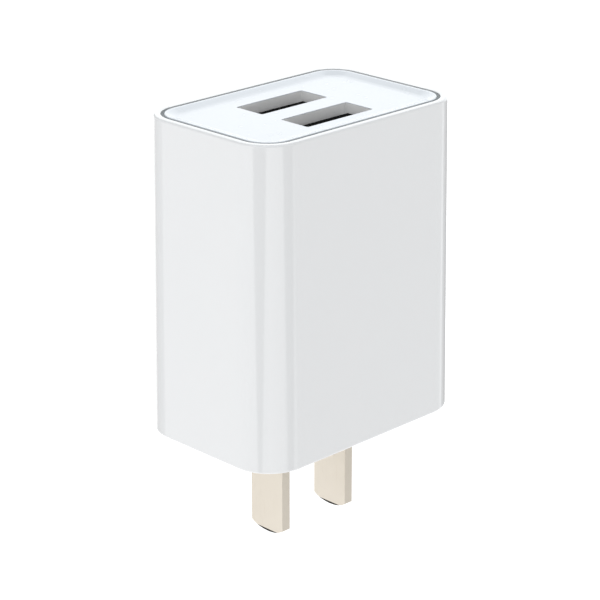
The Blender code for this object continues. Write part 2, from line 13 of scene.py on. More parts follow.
import bmesh
import bpy
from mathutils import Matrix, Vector


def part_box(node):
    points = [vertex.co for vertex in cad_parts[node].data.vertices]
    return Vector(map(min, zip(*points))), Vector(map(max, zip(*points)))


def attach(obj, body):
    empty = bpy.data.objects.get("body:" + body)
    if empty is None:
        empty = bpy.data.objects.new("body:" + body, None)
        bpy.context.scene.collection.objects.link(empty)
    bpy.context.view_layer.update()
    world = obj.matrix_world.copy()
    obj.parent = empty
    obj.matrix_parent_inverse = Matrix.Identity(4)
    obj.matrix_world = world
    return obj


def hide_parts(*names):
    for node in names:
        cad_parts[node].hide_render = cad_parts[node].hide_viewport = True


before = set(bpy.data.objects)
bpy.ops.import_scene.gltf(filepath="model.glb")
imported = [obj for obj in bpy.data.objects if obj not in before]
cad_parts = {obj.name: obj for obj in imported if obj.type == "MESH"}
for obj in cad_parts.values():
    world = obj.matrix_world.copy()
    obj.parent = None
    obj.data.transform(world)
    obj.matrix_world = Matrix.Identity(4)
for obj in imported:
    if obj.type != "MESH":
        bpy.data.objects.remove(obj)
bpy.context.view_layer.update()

MM = 0.001
LOG = logging.getLogger("charger")

# How near two places are that count as one, after rounding and in a cut or a merge
CLOSE = 0.01 * MM
FINE = 0.001 * MM

# Share of a normal along Z: at least this on a level face, at most this on an upright one
LEVEL = 0.99
UPRIGHT = 0.1

# Least share of a direction along an axis that counts as facing along it
FACING = 0.5

Point = tuple[float, float, float]
Pair = tuple[float, float]
Colour = tuple[float, float, float]


# ---------------------------------------------------------------- the workbench


class Part(Enum):
    """What an edit-mode operator works on."""

    POINTS = "VERT"
    EDGES = "EDGE"
    FACES = "FACE"


class Joining(Enum):
    """How one piece is worked with another."""

    CUT = "DIFFERENCE"
    ADD = "UNION"


class Side(Enum):
    """Which of a pair of equal parts."""

    FRONT = "front"
    REAR = "rear"
    LEFT = "left"
    RIGHT = "right"


@dataclass(frozen=True)
class Outline:
    """A rectangle with round corners."""

    size: Pair
    corner: float

    def grown(self, margin: float) -> "Outline":
        """The outline with a margin added all round, or taken off below zero."""
        size = (self.size[0] + 2 * margin, self.size[1] + 2 * margin)
        return Outline(size, self.corner + margin)

    def depth(self, place: Vector) -> float:
        """How far inside the outline a point lies, when it is centred on the Z axis.

        Args:
            place: The point.

        Returns:
            The distance to the outline, negative outside it.
        """
        across = abs(place.x) - self.size[0] / 2 + self.corner
        along = abs(place.y) - self.size[1] / 2 + self.corner
        outside = math.hypot(max(across, 0.0), max(along, 0.0)) + min(max(across, along), 0.0)
        return self.corner - outside


@dataclass(frozen=True)
class Loop:
    """Edges that run level round a piece, and how they are rounded."""

    outline: Outline
    height: float
    inset: float
    width: float
    steps: int

    def holds(self, place: Vector) -> bool:
        """Whether a point lies on the loop."""
        near = abs(self.outline.depth(place) - self.inset) < 2 * CLOSE
        return near and abs(place.z - self.height) < CLOSE


class Workpiece:
    """One mesh on the bench, shaped in edit mode as by hand."""

    def __init__(self, name: str) -> None:
        """Take the primitive that was just added.

        Args:
            name: Name of the piece.
        """
        self.item = bpy.context.object
        self.item.name = name
        self.item.data.name = name
        bpy.ops.object.transform_apply(location=True, rotation=True, scale=True)

    @classmethod
    def block(cls, name: str, low: Point, high: Point) -> "Workpiece":
        """Add a cuboid.

        Args:
            name: Name of the piece.
            low: Lowest corner.
            high: Highest corner.

        Returns:
            The new piece.
        """
        clear_selection()
        centre = [(a + b) / 2 for a, b in zip(low, high)]
        bpy.ops.mesh.primitive_cube_add(size=1, location=centre)
        bpy.context.object.scale = [b - a for a, b in zip(low, high)]
        return cls(name)

    @classmethod
    def plate(cls, name: str, outline: Outline, centre: Point, steps: int) -> "Workpiece":
        """Add one flat face with round corners, facing +Z, selected in edit mode.

        Args:
            name: Name of the piece.
            outline: Its length along X, width along Y and corner radius.
            centre: Middle of the face.
            steps: Segments in each corner.

        Returns:
            The new piece, left in edit mode with its face selected.
        """
        clear_selection()
        bpy.ops.mesh.primitive_plane_add(size=1, location=centre)
        bpy.context.object.scale = (*outline.size, 1)
        piece = cls(name)
        piece.edit()
        piece.select_all()
        bpy.ops.mesh.bevel(
            offset=outline.corner, segments=steps, affect="VERTICES", clamp_overlap=False
        )
        piece.select_all()
        return piece

    @classmethod
    def drum(cls, name: str, radius: float, low: Point, height: float, steps: int) -> "Workpiece":
        """Add an upright cylinder.

        Args:
            name: Name of the piece.
            radius: Its radius.
            low: Centre of its lower end.
            height: Its height along Z.
            steps: Sides round it.

        Returns:
            The new piece.
        """
        clear_selection()
        middle = (low[0], low[1], low[2] + height / 2)
        bpy.ops.mesh.primitive_cylinder_add(
            vertices=steps, radius=radius, depth=height, location=middle
        )
        return cls(name)

    def edit(self, part: Part = Part.FACES) -> None:
        """Enter edit mode with nothing selected.

        Args:
            part: What is selected by the calls that follow.
        """
        if self.item.mode != "EDIT":
            self.take_up()
            bpy.ops.object.mode_set(mode="EDIT")
        bpy.ops.mesh.select_mode(type=part.value)
        bpy.ops.mesh.select_all(action="DESELECT")

    def take_up(self) -> None:
        """Leave edit mode and make this the only selected piece."""
        clear_selection()
        self.item.select_set(True)
        bpy.context.view_layer.objects.active = self.item

    def done(self) -> None:
        """Leave edit mode."""
        if self.item.mode == "EDIT":
            bpy.ops.object.mode_set(mode="OBJECT")

    def select_all(self) -> None:
        """Select everything."""
        bpy.ops.mesh.select_all(action="SELECT")

    def pick_faces(self, test: Callable[[Vector, Vector], bool]) -> int:
        """Select faces.

        Args:
            test: Takes a face's centre and normal and says whether to select it.

        Returns:
            How many faces were selected.
        """
        self.edit(Part.FACES)
        mesh = bmesh.from_edit_mesh(self.item.data)
        mesh.normal_update()
        for face in mesh.faces:
            face.select_set(test(face.calc_center_median(), face.normal))
        bmesh.update_edit_mesh(self.item.data)
        return sum(face.select for face in mesh.faces)

    def pick_edges(self, test: Callable[[Vector, Vector], bool]) -> int:
        """Select edges.

        Args:
            test: Takes an edge's two ends and says whether to select it.

        Returns:
            How many edges were selected.
        """
        self.edit(Part.EDGES)
        mesh = bmesh.from_edit_mesh(self.item.data)
        for edge in mesh.edges:
            edge.select_set(test(edge.verts[0].co, edge.verts[1].co))
        bmesh.update_edit_mesh(self.item.data)
        return sum(edge.select for edge in mesh.edges)

    def pick_open_edges(self) -> None:
        """Select the edges that border only one face."""
        self.edit(Part.EDGES)
        bpy.ops.mesh.select_non_manifold(
            use_wire=False, use_boundary=True, use_multi_face=False, use_non_contiguous=False,
            use_verts=False,
        )

    def inset(self, thickness: float, depth: float = 0.0) -> None:
        """Inset the selected faces.

        Args:
            thickness: Width of the new rim.
            depth: How far the inner faces move along their normal.
        """
        bpy.ops.mesh.inset(thickness=thickness, depth=depth, use_even_offset=True)

    def pull(self, vector: Point) -> None:
        """Extrude the selected faces or edges along a vector."""
        bpy.ops.mesh.extrude_region_move(TRANSFORM_OT_translate={"value": vector})

    def pull_edges(self, vector: Point) -> None:
        """Extrude the selected edges along a vector."""
        bpy.ops.mesh.extrude_edges_move(TRANSFORM_OT_translate={"value": vector})

    def fill(self) -> None:
        """Fill the selected loop with one face."""
        bpy.ops.mesh.edge_face_add()

    def bevel(self, width: float, steps: int) -> None:
        """Round the selected edges.

        Args:
            width: Offset of the bevel.
            steps: Its segments.
        """
        bpy.ops.mesh.bevel(offset=width, segments=steps, affect="EDGES", clamp_overlap=False)

    def round_loop(self, loop: Loop) -> None:
        """Round the edges of a loop."""
        self.pick_edges(lambda a, b: loop.holds(a) and loop.holds(b))
        self.bevel(loop.width, loop.steps)

    def slice(self, place: Point, normal: Point) -> None:
        """Cut everything away on the normal's side of a plane and close the cut.

        Args:
            place: A point on the plane.
            normal: Points to the side that goes.
        """
        self.select_all()
        bpy.ops.mesh.bisect(
            plane_co=place, plane_no=normal, use_fill=True, clear_outer=True, threshold=FINE
        )

    def ring(self, place: Point, scale: float) -> None:
        """Cut a level loop round the piece and shrink or grow it about its middle.

        Args:
            place: Middle of the loop.
            scale: Its new size.
        """
        self.edit(Part.POINTS)
        self.select_all()
        bpy.ops.mesh.bisect(plane_co=place, plane_no=(0, 0, 1), threshold=FINE)
        self.scale_about(place, scale)

    def scale_about(self, place: Point, scale: float) -> None:
        """Shrink or grow what is selected, level, about a point."""
        bpy.ops.transform.resize(value=(scale, scale, 1), center_override=place)

    def outward(self) -> None:
        """Merge doubles and turn every face outwards."""
        self.edit(Part.POINTS)
        self.select_all()
        bpy.ops.mesh.remove_doubles(threshold=FINE)
        bpy.ops.mesh.normals_make_consistent(inside=False)
        self.done()

    def modify(self, kind: str, **settings: object) -> None:
        """Add a modifier and apply it.

        Args:
            kind: The modifier's type.
            **settings: Values of its properties.
        """
        self.take_up()
        modifier = self.item.modifiers.new(kind.title(), kind)
        for key, value in settings.items():
            setattr(modifier, key, value)
        bpy.ops.object.modifier_apply(modifier=modifier.name)

    def combine(self, tool: "Workpiece", how: Joining) -> None:
        """Cut with another piece, or add it on, and remove that piece.

        Args:
            tool: The other piece.
            how: Whether it cuts or is added.
        """
        tool.outward()
        self.modify("BOOLEAN", operation=how.value, object=tool.item, solver="EXACT")
        bpy.data.objects.remove(tool.item)

    def smooth(self, angle: float = 32.0) -> None:
        """Shade smooth below an angle, keeping flat faces flat.

        Args:
            angle: Sharpest edge that is still smoothed, in degrees.
        """
        self.take_up()
        bpy.ops.object.shade_smooth_by_angle(angle=math.radians(angle))
        self.modify("WEIGHTED_NORMAL", keep_sharp=True, weight=100)

    def copy(self, name: str, shift: Point) -> "Workpiece":
        """Copy the piece, mesh and all.

        Args:
            name: Name of the copy.
            shift: How far the copy lies from this piece.

        Returns:
            The copy.
        """
        self.take_up()
        bpy.ops.object.duplicate(linked=False)
        bpy.ops.transform.translate(value=shift)
        return Workpiece(name)

    def paint(self, finish: "Finish", test: Callable[[Vector, Vector], bool]) -> None:
        """Give some faces a finish of their own.

        Args:
            finish: Their finish.
            test: Takes a face's centre and normal and says whether it is one of them.
        """
        self.pick_faces(test)
        self.item.data.materials.append(finish.material())
        self.item.active_material_index = len(self.item.data.materials) - 1
        bpy.ops.object.material_slot_assign()
        self.done()

    def place(self, finish: "Finish", slot: str, *nodes: str) -> None:
        """Dress the piece and let it stand for its solids.

        Args:
            finish: Its finish.
            slot: Not used.
            *nodes: The solids that it stands for.
        """
        self.done()
        self.item.data.materials.clear()
        self.item.data.materials.append(finish.material())
        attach(self.item, "root")
        if nodes:
            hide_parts(*nodes)
        LOG.info("%s: %d faces", self.item.name, len(self.item.data.polygons))


def clear_selection() -> None:
    """Leave edit mode and deselect everything."""
    if bpy.context.object and bpy.context.object.mode != "OBJECT":
        bpy.ops.object.mode_set(mode="OBJECT")
    bpy.ops.object.select_all(action="DESELECT")


# ---------------------------------------------------------------- finishes


class Grain(Enum):
    """Stretch of a finish's fine pattern along X, Y and Z."""

    EVEN = (1.0, 1.0, 1.0)
    ALONG_Z = (14.0, 14.0, 1.0)
    ALONG_X = (1.0, 14.0, 14.0)
    LAYERED_Z = (1.0, 1.0, 20.0)


@dataclass(frozen=True)
class Finish:
    """A surface: its colour, gloss and fine relief, patterned in the piece's own space."""

    name: str
    colour: Colour
    shade: Colour
    roughness: Pair
    metallic: float = 0.0
    coat: float = 0.0
    coat_roughness: float = 0.05
    specular: float = 0.5
    cloud_size: float = 6.0 * MM
    grain_size: float = 0.35 * MM
    grain_height: float = 0.004 * MM
    grain: Grain = Grain.EVEN
    wear: float = 0.05
    rubbed: Pair = (0.60, 0.72)

    def material(self) -> bpy.types.Material:
        """Make the material, or return the one made before.

        Returns:
            The Blender material.
        """
        made = bpy.data.materials.get(self.name)
        if made:
            return made
        material = bpy.data.materials.new(self.name)
        material.use_nodes = True
        tree = material.node_tree
        shader = tree.nodes["Principled BSDF"]
        shader.inputs["Metallic"].default_value = self.metallic
        shader.inputs["Coat Weight"].default_value = self.coat
        shader.inputs["Coat Roughness"].default_value = self.coat_roughness
        shader.inputs["Specular IOR Level"].default_value = self.specular
        place = tree.nodes.new("ShaderNodeTexCoord").outputs["Object"]
        mapping = tree.nodes.new("ShaderNodeMapping")
        mapping.inputs["Scale"].default_value = self.grain.value
        tree.links.new(place, mapping.inputs["Vector"])
        self.colour_nodes(tree, shader, place)
        self.gloss_nodes(tree, shader, place, mapping.outputs["Vector"])
        self.relief_nodes(tree, shader, mapping.outputs["Vector"])
        return material

    def noise(self, tree: bpy.types.NodeTree, place: bpy.types.NodeSocket, size: float,
              detail: float) -> bpy.types.Node:
        """Add a noise texture.

        Args:
            tree: The material's nodes.
            place: Coordinates in metres.
            size: Width of its features.
            detail: Its octaves.

        Returns:
            The noise node.
        """
        noise = tree.nodes.new("ShaderNodeTexNoise")
        noise.inputs["Scale"].default_value = 1.0 / size
        noise.inputs["Detail"].default_value = detail
        tree.links.new(place, noise.inputs["Vector"])
        return noise

    def colour_nodes(self, tree: bpy.types.NodeTree, shader: bpy.types.Node,
                     place: bpy.types.NodeSocket) -> None:
        """Drift the colour slowly over the surface.

        Args:
            tree: The material's nodes.
            shader: Its Principled shader.
            place: Coordinates in metres.
        """
        cloud = self.noise(tree, place, self.cloud_size, 3.0)
        mix = tree.nodes.new("ShaderNodeMix")
        mix.data_type = "RGBA"
        mix.inputs["A"].default_value = (*self.colour, 1.0)
        mix.inputs["B"].default_value = (*self.shade, 1.0)
        tree.links.new(cloud.outputs["Fac"], mix.inputs["Factor"])
        tree.links.new(mix.outputs["Result"], shader.inputs["Base Color"])

    def gloss_nodes(self, tree: bpy.types.NodeTree, shader: bpy.types.Node,
                    place: bpy.types.NodeSocket, along: bpy.types.NodeSocket) -> None:
        """Drift the roughness over the surface and dull it where it is rubbed.

        Args:
            tree: The material's nodes.
            shader: Its Principled shader.
            place: Coordinates in metres.
            along: The same, stretched along the grain.
        """
        haze = self.noise(tree, place, self.cloud_size / 4, 4.0)
        spread = tree.nodes.new("ShaderNodeMapRange")
        spread.inputs["To Min"].default_value = self.roughness[0]
        spread.inputs["To Max"].default_value = self.roughness[1]
        tree.links.new(haze.outputs["Fac"], spread.inputs["Value"])
        rubs = self.noise(tree, along, self.grain_size * 6, 2.0)
        rubbed = tree.nodes.new("ShaderNodeMapRange")
        rubbed.inputs["From Min"].default_value = self.rubbed[0]
        rubbed.inputs["From Max"].default_value = self.rubbed[1]
        rubbed.inputs["To Max"].default_value = self.wear
        tree.links.new(rubs.outputs["Fac"], rubbed.inputs["Value"])
        total = tree.nodes.new("ShaderNodeMath")
        tree.links.new(spread.outputs["Result"], total.inputs[0])
        tree.links.new(rubbed.outputs["Result"], total.inputs[1])
        tree.links.new(total.outputs["Value"], shader.inputs["Roughness"])

    def relief_nodes(self, tree: bpy.types.NodeTree, shader: bpy.types.Node,
                     along: bpy.types.NodeSocket) -> None:
        """Add the fine grain as relief.

        Args:
            tree: The material's nodes.
            shader: Its Principled shader.
            along: Coordinates stretched along the grain.
        """
        grain = self.noise(tree, along, self.grain_size, 3.0)
        bump = tree.nodes.new("ShaderNodeBump")
        bump.inputs["Strength"].default_value = 1.0
        bump.inputs["Distance"].default_value = self.grain_height
        tree.links.new(grain.outputs["Fac"], bump.inputs["Height"])
        tree.links.new(bump.outputs["Normal"], shader.inputs["Normal"])


CASING_WHITE = Finish(
    "casing_gloss_white", (0.800, 0.805, 0.812), (0.790, 0.796, 0.804), (0.10, 0.16),
    coat=0.6, coat_roughness=0.06, grain_size=0.5 * MM, grain_height=0.0015 * MM,
)
CAP_WHITE = Finish(
    "end_cap_white", (0.775, 0.81, 0.855), (0.768, 0.803, 0.848), (0.18, 0.26),
    coat=0.3, coat_roughness=0.12, grain_size=0.25 * MM, grain_height=0.002 * MM,
)
# Grey ring laid in the cap's groove: painted shade that darkens the groove.
GROOVE_PAINTED_SHADE = Finish(
    "groove_painted_shade", (0.21, 0.23, 0.24), (0.19, 0.21, 0.22), (0.45, 0.60), specular=0.3,
    grain_size=0.15 * MM, grain_height=0.002 * MM,
)
BLADE_PLATE = Finish(
    "blade_warm_nickel", (0.72, 0.66, 0.575), (0.695, 0.635, 0.55), (0.30, 0.40), metallic=1.0,
    grain_size=0.6 * MM, grain_height=0.002 * MM, grain=Grain.ALONG_Z, wear=0.14,
)
# Sheared edges: a rougher grain across them, and a darker colour that is painted shade on the
# blades' narrow sides.
BLADE_SHEARED_PAINTED_SHADE = Finish(
    "blade_sheared_edge_painted_shade", (0.615, 0.565, 0.49), (0.59, 0.54, 0.465), (0.34, 0.46), metallic=1.0,
    grain_size=0.25 * MM, grain_height=0.003 * MM, grain=Grain.ALONG_X,
)
# Near-black paint on the blades' down-facing lead-in: a painted dark reflection, not the ground
# metal's own colour.
BLADE_LEAD_IN_PAINTED_REFLECTION = Finish(
    "blade_lead_in_painted_reflection", (0.05, 0.045, 0.04), (0.035, 0.03, 0.026), (0.45, 0.60),
    metallic=0.3, specular=0.1, grain_size=0.3 * MM, grain_height=0.003 * MM,
)
SHELL_STEEL = Finish(
    "socket_shell_nickel", (0.93, 0.93, 0.93), (0.90, 0.90, 0.90), (0.5, 0.6), metallic=0.1,
    grain_size=0.4 * MM, grain_height=0.002 * MM, grain=Grain.ALONG_Z,
)
TONGUE_BLACK = Finish(
    "socket_tongue_black", (0.002, 0.002, 0.002), (0.004, 0.004, 0.004), (0.7, 0.8),
    specular=0.02, grain_size=0.15 * MM, grain_height=0.003 * MM,
)
CONTACT_GILT = Finish(
    "contact_gilt", (0.80, 0.56, 0.24), (0.76, 0.52, 0.21), (0.22, 0.34), metallic=1.0,
    grain_size=0.3 * MM, grain_height=0.001 * MM, grain=Grain.ALONG_Z,
)
SPRING_BRONZE = Finish(
    "spring_bronze", (0.66, 0.42, 0.22), (0.58, 0.36, 0.18), (0.28, 0.42), metallic=1.0,
    grain_size=0.4 * MM, grain_height=0.002 * MM, grain=Grain.ALONG_X,
)
CARRIER_PLASTIC = Finish(
    "carrier_off_white", (0.72, 0.71, 0.67), (0.68, 0.67, 0.63), (0.45, 0.60),
    grain_size=0.2 * MM, grain_height=0.004 * MM,
)
BOARD_GREEN = Finish(
    "board_solder_mask", (0.02, 0.16, 0.06), (0.03, 0.22, 0.09), (0.25, 0.40), coat=0.3,
    cloud_size=2.5 * MM, grain_size=0.5 * MM, grain_height=0.010 * MM,
)
CHIP_RESIN = Finish(
    "chip_resin", (0.018, 0.018, 0.019), (0.026, 0.026, 0.027), (0.48, 0.62),
    grain_size=0.08 * MM, grain_height=0.003 * MM,
)
SLEEVE_BLACK = Finish(
    "capacitor_sleeve", (0.012, 0.013, 0.018), (0.018, 0.019, 0.026), (0.22, 0.34), coat=0.2,
    grain_size=1.2 * MM, grain_height=0.005 * MM,
)
CAN_ALUMINIUM = Finish(
    "bare_aluminium_can", (0.72, 0.72, 0.73), (0.66, 0.66, 0.67), (0.25, 0.38), metallic=1.0,
    grain_size=0.3 * MM, grain_height=0.002 * MM, grain=Grain.LAYERED_Z,
)
MARK_GREY = Finish(
    "sleeve_mark_grey", (0.42, 0.43, 0.45), (0.38, 0.39, 0.41), (0.24, 0.36), coat=0.2,
    grain_size=1.2 * MM, grain_height=0.006 * MM,
)
MARK_VIOLET = Finish(
    "can_mark_violet", (0.20, 0.06, 0.30), (0.16, 0.05, 0.25), (0.30, 0.42),
    grain_size=0.3 * MM, grain_height=0.002 * MM,
)
FUSE_LACQUER = Finish(
    "fuse_green_lacquer", (0.16, 0.36, 0.25), (0.12, 0.30, 0.20), (0.35, 0.50),
    grain_size=0.5 * MM, grain_height=0.012 * MM,
)
FERRITE_GREY = Finish(
    "sintered_ferrite", (0.045, 0.045, 0.047), (0.070, 0.070, 0.072), (0.50, 0.70),
    cloud_size=1.0 * MM, grain_size=0.12 * MM, grain_height=0.006 * MM,
)
DISC_BLUE = Finish(
    "disc_dipped_blue", (0.02, 0.09, 0.36), (0.03, 0.12, 0.42), (0.28, 0.42), coat=0.2,
    grain_size=0.9 * MM, grain_height=0.020 * MM,
)
BOBBIN_BLACK = Finish(
    "bobbin_phenolic", (0.020, 0.018, 0.016), (0.032, 0.028, 0.025), (0.42, 0.58),
    grain_size=0.15 * MM, grain_height=0.004 * MM,
)
WIRE_COPPER = Finish(
    "enamelled_copper", (0.52, 0.20, 0.07), (0.45, 0.16, 0.05), (0.18, 0.30), metallic=1.0,
    coat=0.4, grain_size=0.6 * MM, grain_height=0.030 * MM, grain=Grain.LAYERED_Z,
)
TAPE_YELLOW = Finish(
    "polyester_tape", (0.72, 0.48, 0.03), (0.66, 0.42, 0.02), (0.20, 0.32), coat=0.3,
    grain_size=1.0 * MM, grain_height=0.012 * MM,
)
PIN_TIN = Finish(
    "tinned_pin", (0.68, 0.67, 0.63), (0.60, 0.59, 0.56), (0.28, 0.42), metallic=1.0,
    grain_size=0.3 * MM, grain_height=0.002 * MM, grain=Grain.ALONG_Z,
)
CARD_BUFF = Finish(
    "insulating_card", (0.62, 0.56, 0.40), (0.56, 0.50, 0.35), (0.70, 0.85),
    cloud_size=1.5 * MM, grain_size=0.20 * MM, grain_height=0.012 * MM,
)

# ---------------------------------------------------------------- casing


@dataclass
class Casing:
    """Glossy drafted cup with a rebated rim and a slot for each blade."""

    corner: float = 5.3 * MM
    flare: float = 0.66 * MM
    rim_wall: float = 0.98 * MM
    rebate: float = 3.2 * MM
    ledge: float = 0.77 * MM
    floor: float = 2.2 * MM
    rim_round: float = 0.30 * MM
    rim_inner_round: float = 0.06 * MM
    base_round: float = 0.3 * MM
    cavity_round: float = 0.5 * MM
    slot_play: float = 0.1 * MM
    rib_reach: float = 1.8 * MM
    rib_length: float = 6.0 * MM
    rib_height: float = 4.5 * MM
    board_gap: float = 0.3 * MM
    steps: int = 20

    def build(self) -> Outline:
        """Model the casing, cut its slots and dress it.

        Returns:
            The outline of its rim.
        """
        low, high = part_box("casing")
        base = Outline((high.x - low.x, high.y - low.y), self.corner + self.flare)
        rim = base.grown(-self.flare)
        piece = Workpiece.plate("casing_shell", base, (0, 0, low.z), self.steps)
        piece.inset(self.flare, depth=high.z - low.z)
        piece.inset(self.rim_wall)
        piece.pull((0, 0, -self.rebate))
        piece.inset(self.ledge)
        piece.pull((0, 0, self.floor - (high.z - self.rebate)))
        piece.pick_open_edges()
        piece.fill()
        piece.outward()
        self.round_edges(piece, base, rim, high.z)
        self.cut_slots(piece)
        self.add_ribs(piece, rim)
        piece.smooth()
        piece.place(CASING_WHITE, "casing", "casing")
        return rim

    def round_edges(self, piece: Workpiece, base: Outline, rim: Outline, height: float) -> None:
        """Round the rim, the base and the bottom of the cavity.

        Args:
            piece: The casing.
            base: Outline at the outlet face.
            rim: Outline at the rim.
            height: Height of the rim.
        """
        wall = self.rim_wall + self.ledge
        for loop in (
            Loop(rim, height, 0.0, self.rim_round, steps=5),
            Loop(rim, height, self.rim_wall, self.rim_inner_round, steps=2),
            Loop(base, 0.0, 0.0, self.base_round, steps=5),
            Loop(rim, self.floor, wall, self.cavity_round, steps=3),
        ):
            piece.round_loop(loop)

    def cut_slots(self, piece: Workpiece) -> None:
        """Cut the slot that each blade passes through.

        Args:
            piece: The casing.
        """
        play = self.slot_play
        for side in (Side.LEFT, Side.RIGHT):
            low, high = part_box(f"blade_{side.value}")
            slot = Workpiece.block(
                f"slot_{side.value}", (low.x - play, low.y - play, -self.floor),
                (high.x + play, high.y + play, 2 * self.floor),
            )
            piece.combine(slot, Joining.CUT)

    def add_ribs(self, piece: Workpiece, rim: Outline) -> None:
        """Join on the two ribs that carry the socket board.

        Args:
            piece: The casing.
            rim: Outline at the rim.
        """
        inner = rim.size[0] / 2 - self.rim_wall - self.ledge
        half = self.rib_length / 2
        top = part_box("socket_board")[0].z - self.board_gap
        for side in (-1, 1):
            ends = sorted((side * (inner - self.rib_reach), side * (inner + self.ledge)))
            rib = Workpiece.block(
                f"rib_{side}", (ends[0], -half, top - self.rib_height), (ends[1], half, top)
            )
            piece.combine(rib, Joining.ADD)


# ---------------------------------------------------------------- end cap


@dataclass
class EndCap:
    """White dished plate, set in the rim behind a fine groove."""

    inset: float = 1.02 * MM
    groove: float = 0.46 * MM
    groove_depth: float = 0.5 * MM
    lip: float = 0.38 * MM
    slope: float = 1.34 * MM
    skirt: float = 1.2 * MM
    plate: float = 1.2 * MM
    lip_round: float = 0.09 * MM
    slope_round: float = 0.14 * MM
    dish_round: float = 0.45 * MM
    window_play: float = 0.04 * MM
    window_edge: float = 0.10 * MM
    # Depth and play of the grey ring that paints the groove's shade.
    shade_ring_depth: float = 0.14 * MM
    shade_ring_play: float = 0.02 * MM
    steps: int = 18
    window_steps: int = 6

    def build(self, rim: Outline, sockets: list["Socket"]) -> None:
        """Model the cap, cut its windows and dress it.

        Args:
            rim: Outline of the casing's rim.
            sockets: The sockets behind its windows.
        """
        low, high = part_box("end_cap")
        dish_z = high.z - self.groove_depth
        flange = rim.grown(-self.inset)
        piece = Workpiece.plate("cap_plate", flange, (0, 0, dish_z), self.steps)
        piece.inset(self.groove)
        piece.pull((0, 0, self.groove_depth))
        piece.inset(self.lip)
        piece.inset(self.slope, depth=dish_z - high.z)
        piece.pick_open_edges()
        piece.pull_edges((0, 0, low.z - dish_z))
        piece.fill()
        piece.outward()
        piece.pick_faces(lambda centre, normal: normal.z < -LEVEL)
        piece.inset(self.skirt)
        piece.pull((0, 0, dish_z - self.plate - low.z))
        self.round_edges(piece, flange, high.z, dish_z)
        for socket in sockets:
            self.cut_window(piece, socket, dish_z)
        # The grey ring in the groove is painted shade.
        self.add_groove_shade(flange, high.z)
        piece.smooth()
        piece.place(CAP_WHITE, "cap", "end_cap")

    def round_edges(self, piece: Workpiece, flange: Outline, top: float, dish: float) -> None:
        """Soften the lip and both ends of the slope.

        Args:
            piece: The cap.
            flange: Outline of the cap.
            top: Height of the lip.
            dish: Height of the dish.
        """
        lip = self.groove + self.lip
        for loop in (
            Loop(flange, dish, lip + self.slope, self.dish_round, steps=5),
            Loop(flange, top, lip, self.slope_round, steps=3),
            Loop(flange, top, self.groove, self.lip_round, steps=3),
        ):
            piece.round_loop(loop)

    def add_groove_shade(self, flange: Outline, top: float) -> None:
        """Lay a grey ring in the groove as painted shade, darkening the groove where its shade
        falls.

        Args:
            flange: Outline of the cap.
            top: Height of the lip.
        """
        shade_ring = Workpiece.plate(
            "groove_seal", flange, (0, 0, top - self.shade_ring_depth), self.steps
        )
        shade_ring.inset(self.groove - self.shade_ring_play)
        bpy.ops.mesh.delete(type="ONLY_FACE")
        shade_ring.select_all()
        shade_ring.pull((0, 0, self.shade_ring_depth + self.shade_ring_play - self.groove_depth))
        shade_ring.outward()
        shade_ring.smooth()
        shade_ring.place(GROOVE_PAINTED_SHADE, "cap")

    def cut_window(self, piece: Workpiece, socket: "Socket", dish: float) -> None:
        """Cut one window: its thin edge covers the rim of the shell that stands behind it.

        Args:
            piece: The cap.
            socket: The socket behind the window.
            dish: Height of the dish.
        """
        low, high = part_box(f"usb_shell_{socket.side.value}")
        shell = Outline((high.x - low.x, high.y - low.y), socket.corner)
        bottom = dish - 2 * self.plate
        cuts = (
            (shell.grown(-socket.wall), dish + self.plate),
            (shell.grown(self.window_play), dish - self.window_edge),
        )
        for outline, top in cuts:
            place = ((low.x + high.x) / 2, (low.y + high.y) / 2, top)
            tool = Workpiece.plate("window", outline, place, self.window_steps)
            tool.pull((0, 0, bottom - top))
            tool.pick_open_edges()
            tool.fill()
            piece.combine(tool, Joining.CUT)


# ---------------------------------------------------------------- blades


